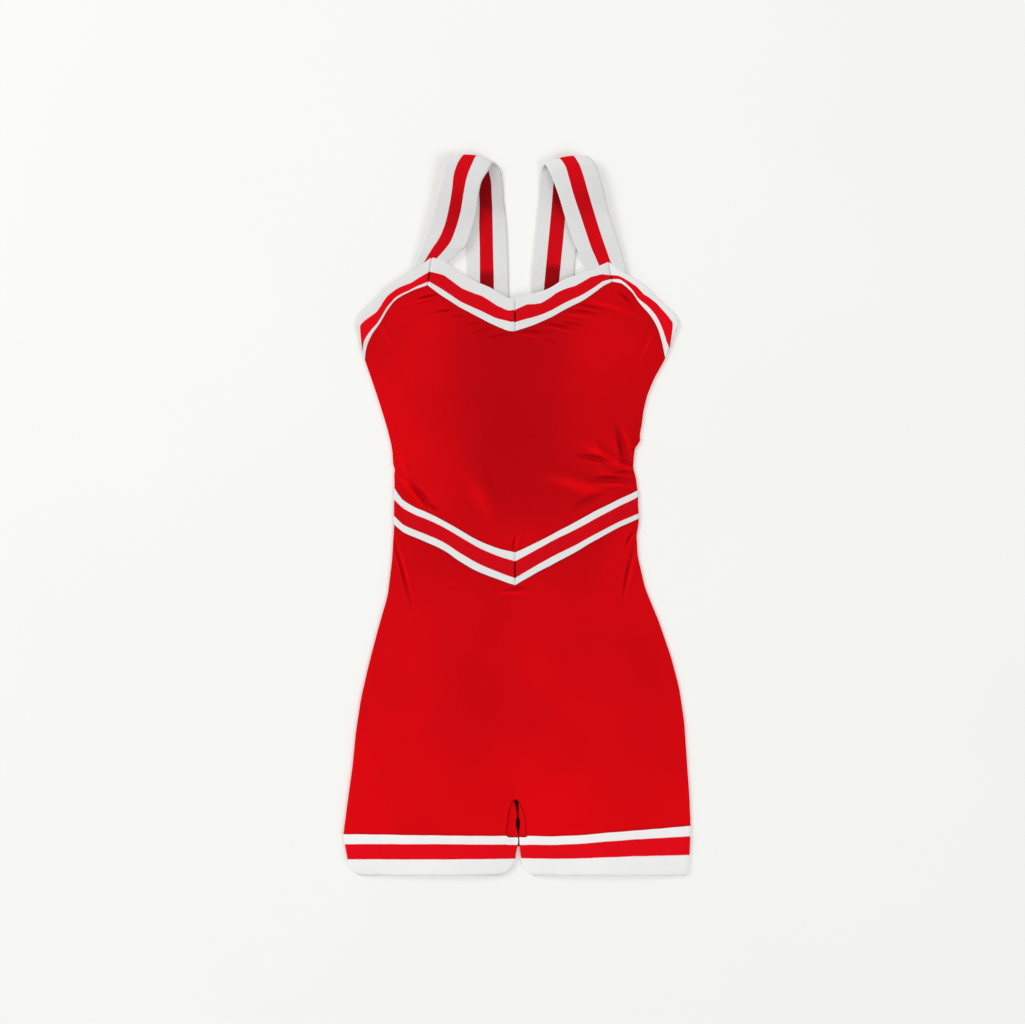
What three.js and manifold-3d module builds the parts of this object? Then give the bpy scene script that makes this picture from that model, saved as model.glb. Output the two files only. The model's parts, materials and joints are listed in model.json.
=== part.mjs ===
// A one-piece cheer uniform, laid flat on its back: a stretch-knit bodice and shorts edged with striped knit trim,
// with two looped shoulder straps. Millimetres. +X runs across to the wearer's left, +Y from the leg hems to the
// straps and +Z up from the surface that the back of the garment lies on.
import * as THREE from "three";
import { mergeVertices } from "three/addons/utils/BufferGeometryUtils.js";
import Module from "manifold-3d";

const wasm = await Module();
wasm.setup();

// ---- Sizes of the materials ------------------------------------------------------------------------------------
const CLOTH = 1.2; // the red stretch knit, doubled
const LINING = 0.8;
const TRIM = 1.6; // thickness of the striped knit trim
const WEBBING = 1.8; // thickness of a shoulder strap
const SEAM_GAP = 0.5; // between two pieces sewn edge to edge
const LAYER_GAP = 0.8; // between the lining and what lies over it

// ---- Sizes of the garment --------------------------------------------------------------------------------------
const BODY_WIDTH = 374; // across both legs at the hems
const BODY_LENGTH = 554; // hem to underarm
const NECK_TRIM = 36;
const BACK_TRIM = 32;
const WAIST_TRIM = 36;
const HEM_TRIM = 43;
const STRAP_WIDTH = 45;
const STRAP_RISE = 103; // from the line where a strap bends to the top of its loop
const STRAP_END = 6.5; // webbing left flat between the neckline's points and that line
const LOOP_HEIGHT = 13.2; // middle of the webbing at the top of a loop
const FOLD_ABOVE_TRIM = 12; // where the bodice folds over, above the ends of the waist trim
const CROTCH_LEVEL = 83;
const LEGS_APART_LEVEL = 140; // below it the front hollows between the legs
const GUSSET_WIDTH = 21;
const LEG_SLIT = 3; // between the two legs
const BUST_ELASTIC = 12; // width of the elastic under the bust lining
const ELASTIC_ABOVE_FOLD = 15;
const LINING_INSET = 16; // from the side seams

// The pattern is drawn at its base size and graded to the two sizes above.
const BASE_WIDTH = 374;
const BASE_LENGTH = 554;
const gradeX = (x) => (x * BODY_WIDTH) / BASE_WIDTH;
const gradeY = (y) => (y * BODY_LENGTH) / BASE_LENGTH;

// ---- Lines -----------------------------------------------------------------------------------------------------
// A smooth function through [place, value] pairs, with the places in rising order.
function through(pairs) {
  const slope = (i, j) => (pairs[j][1] - pairs[i][1]) / (pairs[j][0] - pairs[i][0]);
  const last = pairs.length - 1;
  const slopes = pairs.map((_, i) => slope(Math.max(i - 1, 0), Math.min(i + 1, last)));
  return (at) => {
    const p = THREE.MathUtils.clamp(at, pairs[0][0], pairs[last][0]);
    const i = Math.min(Math.max(pairs.findIndex(([q]) => q > p) - 1, 0), last - 1);
    const j = pairs.at(-1)[0] <= p ? last - 1 : i;
    const span = pairs[j + 1][0] - pairs[j][0];
    const t = (p - pairs[j][0]) / span;
    const a = t * t * (3 - 2 * t);
    return (
      pairs[j][1] * (1 - a) +
      pairs[j + 1][1] * a +
      span * (t * (1 - t) * (1 - t) * slopes[j] - t * t * (1 - t) * slopes[j + 1])
    );
  };
}

// The side seams: how far out they lie, at each level above the hems.
const side = (pairs) => through(pairs.map(([level, out]) => [gradeY(level), gradeX(out)]));
const leftSide = side([
  [0, -179], [44, -187], [100, -179], [180, -170], [257, -152], [300, -139.5], [340, -134.5],
  [385, -132], [427, -132], [463, -135], [515, -150], [554, -163.4], [577, -171.5], [592, -173.5],
]);
const rightSide = side([
  [0, 185], [54, 187], [115, 183.5], [180, 177], [257, 158], [300, 142], [334, 130], [384, 131.5],
  [427, 126.5], [450, 124.5], [476, 133], [502, 136.5], [528, 144], [554, 158.6], [580, 170], [597, 175.5],
]);

// How high the front of the garment stands over the sides, at each level.
const BACK_TOP = Math.max(CLOTH, TRIM);
const SIDE_HEIGHT = BACK_TOP + SEAM_GAP + TRIM / 2; // the middle of the front at a side seam
const loft = through(
  [[0, 6], [80, 7.2], [250, 8], [400, 7], [520, 12], [590, 7.5], [640, 5.2], [690, 4.4]].map(
    ([level, high]) => [gradeY(level), high],
  ),
);

function frontHeight(x, y) {
  const left = leftSide(y);
  const right = rightSide(y);
  const share = (x - (left + right) / 2) / ((right - left) / 2);
  const torso = 1 - share ** 4;
  const legs = 1 - (2 * Math.abs(share) - 1) ** 4;
  const apart = 1 - THREE.MathUtils.smoothstep(y, gradeY(CROTCH_LEVEL), gradeY(LEGS_APART_LEVEL));
  return SIDE_HEIGHT + loft(y) * Math.max(0, THREE.MathUtils.lerp(torso, legs, apart));
}

// ---- Edges: each is a function from 0 to 1 that gives a point of the pattern --------------------------------------
const point = (x, y) => new THREE.Vector2(x, y);
const straight = (a, b) => (t) => a.clone().lerp(b, t);
const up = (line, low, high) => (t) => point(line(low + (high - low) * t), low + (high - low) * t);

function joined(...edges) {
  return (t) => {
    const i = Math.min(Math.floor(t * edges.length), edges.length - 1);
    return edges[i](t * edges.length - i);
  };
}

// A band of trim, from stations [x, y, angle, share]: its inner edge passes through the points, and its outer edge
// lies off them at that angle, by that share of the band's width. The rest of the width rolls over the edge.
// A band that starts or ends at a side seam has both its edges there.
function band(width, stations, { startsOn, endsOn } = {}) {
  const inner = stations.map(([x, y]) => point(gradeX(x), gradeY(y)));
  const outer = stations.map(([, , angle, share], i) => {
    const turn = THREE.MathUtils.degToRad(angle);
    return inner[i].clone().add(point(Math.cos(turn), Math.sin(turn)).multiplyScalar(width * share));
  });
  for (const points of [inner, outer]) {
    if (startsOn) points[0].x = startsOn(points[0].y);
    if (endsOn) points.at(-1).x = endsOn(points.at(-1).y);
  }
  const [innerLine, outerLine] = [inner, outer].map((points) => new THREE.SplineCurve(points));
  return {
    inner: (t) => innerLine.getPoint(t),
    outer: (t) => outerLine.getPoint(t),
    start: straight(inner[0], outer[0]),
    end: straight(inner.at(-1), outer.at(-1)),
  };
}

const armholeLeft = band(NECK_TRIM, [
  [-163.4, 554, 105, 1.04], [-158, 577.5, 114, 0.75], [-147, 592.5, 126, 0.62], [-136.5, 609, 134, 0.47],
  [-128, 619, 132, 0.45], [-112, 629, 117, 0.46], [-96, 634.5, 82, 0.87],
], { startsOn: leftSide });
const necklineLeft = band(NECK_TRIM, [
  [-96, 634.5, 82, 0.87], [-85, 626, 79, 1], [-67, 614, 86, 1.04], [-45, 602, 87, 1.03],
  [-26, 592, 90, 1.1], [-10, 585.5, 90, 1.01], [-2, 584.8, 90, 1.01],
]);
const necklineRight = band(NECK_TRIM, [
  [-2, 584.8, 90, 1.01], [14, 590, 91, 0.99], [30, 596.5, 92, 0.91], [54, 609.5, 95, 0.9],
  [78, 622, 104, 0.77], [89, 631.5, 95, 0.66], [102.5, 638.5, 101, 0.62],
]);
const armholeRight = band(NECK_TRIM, [
  [102.5, 638.5, 101, 0.62], [119, 631, 88, 0.42], [127, 620, 62, 0.52], [135, 610, 54, 0.54],
  [147.5, 595.5, 51, 0.6], [154, 578, 57, 0.85], [158.6, 554, 69, 1.18],
], { endsOn: rightSide });
const backNeckline = band(BACK_TRIM, [
  [-163.4, 554, 105, 1.1], [-120, 545, 92, 1], [-60, 540, 90, 1], [0, 538, 90, 1],
  [60, 540, 90, 1], [118, 545, 88, 1], [158.6, 554, 75, 1.1],
], { startsOn: leftSide, endsOn: rightSide });
const waistLeft = band(WAIST_TRIM, [
  [-132.5, 375.5, 90, 1.04], [-118, 366, 90, 0.95], [-103, 360, 90, 0.93], [-77, 347.5, 90, 0.93],
  [-57, 334, 90, 1], [-31, 321, 90, 0.96], [-2, 309.5, 90, 1.01],
], { startsOn: leftSide });
const waistRight = band(WAIST_TRIM, [
  [-2, 309.5, 90, 1.01], [17, 321, 90, 0.96], [40, 334, 90, 0.96], [64, 347, 90, 0.96],
  [85, 360, 90, 0.92], [108.5, 373, 90, 0.89], [131.5, 384, 90, 0.86],
], { endsOn: rightSide });
const waistBack = band(WAIST_TRIM, [
  [-132.5, 375.5, 90, 1.04], [-90, 366, 90, 1], [-45, 360, 90, 1], [0, 358, 90, 1],
  [45, 361, 90, 1], [90, 370, 90, 1], [131.5, 384, 90, 0.86],
], { startsOn: leftSide, endsOn: rightSide });
const slitLeft = -2 - LEG_SLIT / 2;
const slitRight = -2 + LEG_SLIT / 2;
const hemLeft = band(HEM_TRIM, [
  [-179, 0, 100.5, 1.04], [-140, 0, 92, 1.02], [-90, 0, 90, 1], [-45, 0, 90, 1], [slitLeft, 0, 90, 1],
], { startsOn: leftSide });
const hemRight = band(HEM_TRIM, [
  [slitRight, 0, 90, 1], [40, 0, 90, 1.02], [80, 0, 90, 1.1], [130, 0, 90, 1.18], [185, 0, 88, 1.26],
], { endsOn: rightSide });

// ---- Solids ----------------------------------------------------------------------------------------------------
// A slab of cloth between four edges, whose middle lies at height(x, y). Its outline is drawn in by half a seam.
function sewnPiece({ bottom, top, left, right }, height, thickness, across, along) {
  const corners = (u) => bottom(0).lerp(bottom(1), u);
  const topCorners = (u) => top(0).lerp(top(1), u);
  const inside = (u, v) =>
    bottom(u)
      .lerp(top(u), v)
      .add(left(v).lerp(right(v), u))
      .sub(corners(u).lerp(topCorners(u), v));
  const drawnIn = (u, v) => {
    const at = inside(u, v);
    const moved = at.clone();
    const towards = (p, q) => moved.add(inside(p, q).sub(at).setLength(SEAM_GAP / 2));
    if (u < 1e-6 || u > 1 - 1e-6) towards(u < 0.5 ? 1 / across : 1 - 1 / across, v);
    if (v < 1e-6 || v > 1 - 1e-6) towards(u, v < 0.5 ? 1 / along : 1 - 1 / along);
    return moved;
  };
  const slab = new THREE.BoxGeometry(1, 1, 1, across, along, 1);
  const place = slab.getAttribute("position");
  for (let i = 0; i < place.count; i++) {
    const at = drawnIn(place.getX(i) + 0.5, place.getY(i) + 0.5);
    place.setXYZ(i, at.x, at.y, height(at.x, at.y) + place.getZ(i) * thickness);
  }
  return slab;
}

const flatOnFloor = (thickness) => () => thickness / 2;
const frontPanel = (edges, across, along) => sewnPiece(edges, frontHeight, CLOTH, across, along);
const backPanel = (edges, across, along) => sewnPiece(edges, flatOnFloor(CLOTH), CLOTH, across, along);

function trimPiece({ inner, outer, start, end }, height, along) {
  return sewnPiece({ bottom: inner, top: outer, left: start, right: end }, height, TRIM, along, 2);
}

// Geometry as a manifold-3d solid, and back.
function solid(geometry) {
  const bare = new THREE.BufferGeometry().setAttribute("position", geometry.getAttribute("position"));
  if (geometry.index) bare.setIndex(geometry.index);
  const merged = mergeVertices(bare, 1e-4);
  return new wasm.Manifold(
    new wasm.Mesh({
      numProp: 3,
      vertProperties: merged.getAttribute("position").array,
      triVerts: new Uint32Array(merged.index.array),
    }),
  );
}

function geometryOf(made) {
  const mesh = made.getMesh();
  return new THREE.BufferGeometry()
    .setAttribute("position", new THREE.BufferAttribute(mesh.vertProperties, 3))
    .setIndex(new THREE.BufferAttribute(mesh.triVerts, 1));
}

// A strap's webbing along stations [x, y, z, yaw]: yaw turns the webbing's width about Z from the X axis, in degrees.
function webbing(stations, along) {
  const path = new THREE.CatmullRomCurve3(stations.map(([x, y, z]) => new THREE.Vector3(x, y, z)));
  const yaws = through(stations.map(([, , , yaw], i) => [i / (stations.length - 1), yaw]));
  const strip = new THREE.BoxGeometry(1, 1, 1, 3, along, 1);
  const place = strip.getAttribute("position");
  for (let i = 0; i < place.count; i++) {
    const t = place.getY(i) + 0.5;
    const tangent = path.getTangent(t);
    const yaw = THREE.MathUtils.degToRad(yaws(t));
    const across = new THREE.Vector3(Math.cos(yaw), Math.sin(yaw), 0);
    const outward = across.clone().cross(tangent).normalize();
    const at = path
      .getPoint(t)
      .addScaledVector(across, place.getX(i) * STRAP_WIDTH)
      .addScaledVector(outward, place.getZ(i) * WEBBING);
    place.setXYZ(i, at.x, at.y, at.z);
  }
  return strip;
}

// ---- Materials -------------------------------------------------------------------------------------------------
const knit = (color, roughness) => new THREE.MeshStandardMaterial({ color, roughness, metalness: 0 });
const redKnit = knit(0xd00a10, 0.6);
const redLining = knit(0xb50a12, 0.75);
const stripedTrim = knit(0xe4e4e1, 0.7);
const stripedWebbing = knit(0xe0e0de, 0.72);
const whiteElastic = knit(0xe8e8e6, 0.75);

const uniform = new THREE.Group();

function add(name, geometry, material) {
  const mesh = new THREE.Mesh(geometry, material);
  mesh.name = name;
  uniform.add(mesh);
}

// ---- The bodice ------------------------------------------------------------------------------------------------
const underarm = gradeY(554);
const fold = Math.max(waistLeft.outer(0).y, waistRight.outer(1).y) + FOLD_ABOVE_TRIM;
const foldLine = straight(point(leftSide(fold), fold), point(rightSide(fold), fold));
const neckEdge = joined(armholeLeft.inner, necklineLeft.inner, necklineRight.inner, armholeRight.inner);

// The edges of a panel that reaches from one side seam to the other.
const betweenSides = (bottom, top) => ({
  bottom,
  top,
  left: up(leftSide, bottom(0).y, top(0).y),
  right: up(rightSide, bottom(1).y, top(1).y),
});

const bodiceEdges = betweenSides(foldLine, neckEdge);
const backBodiceEdges = betweenSides(foldLine, backNeckline.inner);
const waistEdge = joined(waistLeft.outer, waistRight.outer);
add("front_bodice", frontPanel(bodiceEdges, 32, 7), redKnit);
add("front_waist_panel", frontPanel(betweenSides(waistEdge, foldLine), 16, 3), redKnit);
add("back_bodice", backPanel(backBodiceEdges, 12, 5), redKnit);
add("back_waist_panel", backPanel(betweenSides(waistBack.outer, foldLine), 12, 2), redKnit);

// The bust lining hangs inside the front, from the trim down to its own elastic.
const liningHeight = (x, y) => frontHeight(x, y) - CLOTH / 2 - LAYER_GAP - LINING / 2;
const liningLeft = (y) => leftSide(y) + LINING_INSET;
const liningRight = (y) => rightSide(y) - LINING_INSET;
const elasticBottom = fold + ELASTIC_ABOVE_FOLD;
const elasticTop = elasticBottom + BUST_ELASTIC;
const levelLine = (y) => straight(point(liningLeft(y), y), point(liningRight(y), y));
const liningTop = (t) => neckEdge(THREE.MathUtils.lerp(0.06, 0.94, t)).add(point(0, -LINING_INSET / 2));
const liningEdges = {
  bottom: levelLine(elasticTop),
  top: liningTop,
  left: straight(levelLine(elasticTop)(0), liningTop(0)),
  right: straight(levelLine(elasticTop)(1), liningTop(1)),
};
const elasticEdges = {
  bottom: levelLine(elasticBottom),
  top: levelLine(elasticTop),
  left: up(liningLeft, elasticBottom, elasticTop),
  right: up(liningRight, elasticBottom, elasticTop),
};
add("bust_lining", sewnPiece(liningEdges, liningHeight, LINING, 24, 5), redLining);
add("bust_elastic", sewnPiece(elasticEdges, liningHeight, LINING, 20, 1), whiteElastic);

// ---- The striped trims -----------------------------------------------------------------------------------------
add("neckline_trim_left", trimPiece(necklineLeft, frontHeight, 8), stripedTrim);
add("neckline_trim_right", trimPiece(necklineRight, frontHeight, 8), stripedTrim);
add("armhole_trim_left", trimPiece(armholeLeft, frontHeight, 8), stripedTrim);
add("armhole_trim_right", trimPiece(armholeRight, frontHeight, 8), stripedTrim);
add("back_neckline_trim", trimPiece(backNeckline, flatOnFloor(TRIM), 12), stripedTrim);
add("waist_trim_front_left", trimPiece(waistLeft, frontHeight, 8), stripedTrim);
add("waist_trim_front_right", trimPiece(waistRight, frontHeight, 8), stripedTrim);
add("waist_trim_back", trimPiece(waistBack, flatOnFloor(TRIM), 12), stripedTrim);
for (const [name, edges] of [["left", hemLeft], ["right", hemRight]]) {
  add(`hem_trim_${name}_front`, trimPiece(edges, frontHeight, 8), stripedTrim);
  add(`hem_trim_${name}_back`, trimPiece(edges, flatOnFloor(TRIM), 8), stripedTrim);
}

// ---- The shorts ------------------------------------------------------------------------------------------------
// The gusset is an arch round the top of the slit between the legs. It reaches through both layers.
const slitMiddle = (slitLeft + slitRight) / 2;
const hemEdge = joined(hemLeft.outer, hemRight.outer);
const slitTop = gradeY(CROTCH_LEVEL);
const gussetTop = slitTop + GUSSET_WIDTH / 3;
const gussetFoot = HEM_TRIM + SEAM_GAP;

const [gussetLeft, gussetRight] = [slitMiddle - GUSSET_WIDTH / 2, slitMiddle + GUSSET_WIDTH / 2];
const gussetShoulder = gussetTop - GUSSET_WIDTH / 2;
const arch = new THREE.Shape();
arch.moveTo(gussetLeft, gussetFoot);
arch.lineTo(gussetRight, gussetFoot);
arch.quadraticCurveTo(gussetRight, gussetShoulder, slitMiddle, gussetTop);
arch.quadraticCurveTo(gussetLeft, gussetShoulder, gussetLeft, gussetFoot);
const gussetOutline = new wasm.CrossSection([arch.getPoints(8).map(({ x, y }) => [x, y])]);
const seamOutline = gussetOutline.offset(SEAM_GAP, "Miter");
const cutOut = wasm.Manifold.extrude(seamOutline, 4 * LOOP_HEIGHT).translate(0, 0, -LOOP_HEIGHT);
const slit = new THREE.BoxGeometry(LEG_SLIT, 2 * (slitTop - gussetFoot), 4 * LOOP_HEIGHT);
slit.translate(slitMiddle, gussetFoot, 0);
const gusset = wasm.Manifold.extrude(gussetOutline, SIDE_HEIGHT + CLOTH / 2).subtract(solid(slit));
const waistSeam = joined(waistLeft.inner, waistRight.inner);
const shortsFront = frontPanel(betweenSides(hemEdge, waistSeam), 16, 9);
const shortsBack = backPanel(betweenSides(hemEdge, waistBack.inner), 16, 8);
add("front_shorts", geometryOf(solid(shortsFront).subtract(cutOut)), redKnit);
add("back_shorts", geometryOf(solid(shortsBack).subtract(cutOut)), redKnit);
add("crotch_gusset", geometryOf(gusset), redKnit);

// ---- The straps ------------------------------------------------------------------------------------------------
// Each is one length of webbing: a front end on the neckline, a loop, and a back end on the back neckline.
const bend = Math.max(armholeLeft.outer(1).y, armholeRight.outer(0).y) + STRAP_END;
const endHeight = SIDE_HEIGHT + loft(bend);
const backHeight = WEBBING / 2;

// Stations of a loop: [x, share of the rise, share of the height, yaw].
const loopLeft = [
  [-80.5, 0, 0, 0], [-75.5, 0.155, 0.25, -18], [-68, 0.43, 0.52, -15], [-62.5, 0.66, 0.76, -12],
  [-56, 0.83, 0.97, -12], [-48.5, 0.945, 0.92, -7], [-44, 0.99, 0.35, -3], [-39.5, 0.935, -0.3, -2],
  [-36, 0.78, -0.53, 0], [-33, 0.47, -0.6, 0], [-32.2, 0, -0.62, 0],
];
const loopRight = [
  [87.5, 0, 0, 0], [81.5, 0.22, 0.3, 16], [74, 0.52, 0.6, 16], [66.5, 0.73, 0.82, 15],
  [59.5, 0.87, 0.99, 12], [54.5, 0.95, 0.92, 6], [51, 0.99, 0.35, 3], [47.5, 0.935, -0.3, 0],
  [46, 0.78, -0.53, -4], [45, 0.47, -0.6, -4], [41, 0, -0.62, 0],
];

// A share of 0 is the height of the front, 1 the top of the loop and -0.62 the back lying on the floor.
const BACK_SHARE = -0.62;
const heightAt = (share) =>
  share >= 0
    ? THREE.MathUtils.lerp(endHeight, LOOP_HEIGHT, share)
    : THREE.MathUtils.lerp(endHeight, backHeight, share / BACK_SHARE);

const topEdge = joined(armholeLeft.outer, necklineLeft.outer, necklineRight.outer, armholeRight.outer);
const [backEdgeLeft, backEdgeRight] = [backNeckline.outer(0).x, backNeckline.outer(1).x];
const backEdgeAt = (x) => backNeckline.outer((x - backEdgeLeft) / (backEdgeRight - backEdgeLeft));

// frontSpan is the stretch of the front's top edge that the front end is sewn along.
function strap(name, stations, frontSpan) {
  const laid = stations.map(([x, rise, high, yaw]) => [gradeX(x), bend + rise * STRAP_RISE, heightAt(high), yaw]);
  const first = laid[0][0];
  const last = laid.at(-1)[0];
  laid[0][1] += SEAM_GAP / 2;
  laid.at(-1)[1] += SEAM_GAP / 2;
  add(name, webbing(laid, 32), stripedWebbing);

  const bendLine = (middle) =>
    straight(point(middle - STRAP_WIDTH / 2, bend), point(middle + STRAP_WIDTH / 2, bend));
  const end = (bottom, middle, height, across, along) => {
    const top = bendLine(middle);
    const edges = { bottom, top, left: straight(bottom(0), top(0)), right: straight(bottom(1), top(1)) };
    return sewnPiece(edges, () => height, WEBBING, across, along);
  };
  const frontSeam = (t) => topEdge(THREE.MathUtils.lerp(...frontSpan, t)).add(point(0, SEAM_GAP));
  const backSeam = straight(backEdgeAt(last - STRAP_WIDTH / 2), backEdgeAt(last + STRAP_WIDTH / 2));
  add(`${name}_front_end`, end(frontSeam, first, endHeight, 8, 1), stripedWebbing);
  add(`${name}_back_end`, end(backSeam, last, backHeight, 2, 2), stripedWebbing);
}

strap("strap_left", loopLeft, [0.215, 0.32]);
strap("strap_right", loopRight, [0.675, 0.79]);

// ---- The frame: the origin is under the middle of the garment, on the surface it lies on ----------------------------
const extent = new THREE.Box3().setFromObject(uniform);
const middle = extent.getCenter(new THREE.Vector3());
uniform.position.set(-middle.x, -middle.y, -extent.min.z);

export default uniform;
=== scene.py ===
"""A cheer uniform laid flat: the sewn cloth, trims, webbing and thread over its rigid frame."""

import json
import math
from functools import partial

import bmesh
import bpy
import numpy as np
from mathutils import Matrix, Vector, noise
from mathutils.geometry import delaunay_2d_cdt


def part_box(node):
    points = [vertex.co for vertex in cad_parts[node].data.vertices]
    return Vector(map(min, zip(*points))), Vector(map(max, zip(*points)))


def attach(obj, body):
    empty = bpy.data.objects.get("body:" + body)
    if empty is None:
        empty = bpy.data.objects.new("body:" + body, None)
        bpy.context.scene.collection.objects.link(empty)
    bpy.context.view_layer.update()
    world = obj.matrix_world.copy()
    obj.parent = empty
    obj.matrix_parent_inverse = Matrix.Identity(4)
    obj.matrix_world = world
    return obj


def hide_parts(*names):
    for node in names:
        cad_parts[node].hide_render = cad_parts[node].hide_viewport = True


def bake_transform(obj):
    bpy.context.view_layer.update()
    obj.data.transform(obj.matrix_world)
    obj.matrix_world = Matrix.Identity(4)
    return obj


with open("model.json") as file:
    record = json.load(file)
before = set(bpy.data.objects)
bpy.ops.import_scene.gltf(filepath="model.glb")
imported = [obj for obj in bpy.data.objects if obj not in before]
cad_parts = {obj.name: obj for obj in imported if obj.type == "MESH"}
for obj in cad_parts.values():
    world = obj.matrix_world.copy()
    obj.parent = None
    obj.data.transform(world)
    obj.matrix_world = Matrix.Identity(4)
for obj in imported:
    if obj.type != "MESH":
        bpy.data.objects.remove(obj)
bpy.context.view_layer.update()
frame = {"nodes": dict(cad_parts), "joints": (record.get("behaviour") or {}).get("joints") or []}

MM = 0.001

# ---- Camera, floor and light ----
VIEW_WIDTH = 1.1024  # how much of the floor the picture takes in
CAMERA_PLACE = (-0.0048, 0.0033, 4.5)
SENSOR = 36


def set_up_camera():
    """A long lens that looks straight down."""
    data = bpy.data.cameras.new("camera")
    data.sensor_width = SENSOR
    data.lens = SENSOR * CAMERA_PLACE[2] / VIEW_WIDTH
    camera = bpy.data.objects.new("camera", data)
    camera.location = CAMERA_PLACE
    bpy.context.scene.collection.objects.link(camera)
    bpy.context.scene.camera = camera


def area_light(name, place, size, power, shadow=True):
    """A round lamp that looks at the middle of the garment."""
    data = bpy.data.lights.new(name, "AREA")
    data.shape = "DISK"
    data.size = size
    data.energy = power
    data.use_shadow = shadow
    light = bpy.data.objects.new(name, data)
    light.location = place
    light.rotation_euler = (-Vector(place)).to_track_quat("-Z", "Y").to_euler()
    bpy.context.scene.collection.objects.link(light)


WINDOW = (-5.9, 3.8, 6.0)


def set_up_light():
    """A window at the upper left, most of whose light casts no shadow, a bounce opposite and a pale room."""
    area_light("window", WINDOW, 4.5, 240)
    area_light("window_fill", WINDOW, 4.5, 320, shadow=False)
    area_light("bounce", (4.8, -3.2, 6.4), 5.0, 170)
    world = bpy.data.worlds.new("studio")
    world.use_nodes = True
    room = world.node_tree.nodes["Background"]
    room.inputs["Color"].default_value = (1, 0.995, 0.985, 1)
    room.inputs["Strength"].default_value = 0.465
    bpy.context.scene.world = world
    bpy.context.scene.view_settings.view_transform = "Standard"


# ---- Material recipes ----
def plug(tree, socket, value):
    """Gives a socket a value or a link."""
    if isinstance(value, Dye):
        tree.links.new(value.socket, socket)
    else:
        socket.default_value = value


class Dye:
    """A value in a material's recipe. Arithmetic on it adds Math nodes."""

    def __init__(self, tree, socket):
        self.tree = tree
        self.socket = socket

    def node(self, kind, settings=(), output=0, **values):
        """Any other node: its type, its settings, and the values or links of its sockets."""
        made = self.tree.nodes.new(kind)
        for name, value in dict(settings).items():
            setattr(made, name, value)
        for name, value in values.items():
            key = int(name[1:]) if name[1:].isdigit() else name.replace("_", " ")
            plug(self.tree, made.inputs[key], value)
        return Dye(self.tree, made.outputs[output])

    def maths(self, operation, *values):
        sockets = {f"i{i}": value for i, value in enumerate(values)}
        return self.node("ShaderNodeMath", {"operation": operation}, **sockets)

    def __add__(self, other):
        return self.maths("ADD", self, other)

    def __radd__(self, other):
        return self.maths("ADD", other, self)

    def __sub__(self, other):
        return self.maths("SUBTRACT", self, other)

    def __rsub__(self, other):
        return self.maths("SUBTRACT", other, self)

    def __mul__(self, other):
        return self.maths("MULTIPLY", self, other)

    def __rmul__(self, other):
        return self.maths("MULTIPLY", other, self)

    def __truediv__(self, other):
        return self.maths("DIVIDE", self, other)

    def __rtruediv__(self, other):
        return self.maths("DIVIDE", other, self)

    def sine(self):
        return self.maths("SINE", self)

    def fraction(self):
        return self.maths("FRACT", self)

    def size(self):
        return self.maths("ABSOLUTE", self)

    def wave(self, length):
        """0 to 1 and back over each such length."""
        return (self / length * math.tau).sine() * 0.5 + 0.5

    def step(self, low, high):
        """0 below low and 1 above high, with a soft step between."""
        return self.node(
            "ShaderNodeMapRange",
            {"interpolation_type": "SMOOTHSTEP"},
            Value=self,
            From_Min=low,
            From_Max=high,
        )

    def mix(self, first, second):
        """The colour that this value picks between two others."""
        return self.node("ShaderNodeMix", {"data_type": "RGBA"}, output=2, i0=self, i6=first, i7=second)


class Cloth:
    """A material in the making: its coordinates, its shader and the sockets that finish it."""

    def __init__(self, name, sheen=0.0, sheen_tint=(1, 1, 1, 1), specular=0.3):
        self.made = bpy.data.materials.new(name)
        self.made.use_nodes = True
        self.tree = self.made.node_tree
        self.shader = self.tree.nodes["Principled BSDF"]
        self.shader.inputs["Sheen Weight"].default_value = sheen
        self.shader.inputs["Sheen Roughness"].default_value = 0.45
        self.shader.inputs["Sheen Tint"].default_value = sheen_tint
        self.shader.inputs["Specular IOR Level"].default_value = specular
        self.start = Dye(self.tree, None)

    def plane(self, name):
        """The two coordinates of a named map, in metres, and the map itself."""
        place = self.start.node("ShaderNodeUVMap", {"uv_map": name})
        split = self.start.node("ShaderNodeSeparateXYZ", i0=place)
        return split, Dye(self.tree, split.socket.node.outputs[1]), place

    def cloud(self, place, scale, detail=3.0):
        """Soft mottling, from 0 to 1, with so many turns in a metre."""
        return self.start.node("ShaderNodeTexNoise", Vector=place, Scale=scale, Detail=detail, Roughness=0.55)

    def finish(self, colour, roughness, height, depth):
        """Sets the colour, the roughness and a relief of that depth in metres."""
        relief = self.start.node("ShaderNodeBump", Height=height, Strength=1.0, Distance=depth)
        for name, value in (("Base Color", colour), ("Roughness", roughness), ("Normal", relief)):
            plug(self.tree, self.shader.inputs[name], value)
        return self.made


def knit_relief(u, v, wale, course):
    """Rows of V-shaped stitches: wale is a stitch's width and course its height, in metres."""
    across = (u / wale).fraction()
    lean = (across * 2.0 - 1.0).size()
    loops = ((v / course + lean * 0.5) * math.tau).sine() * 0.5 + 0.5
    furrow = (across * math.pi).sine()
    return loops * 0.45 + furrow * 0.55


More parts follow.
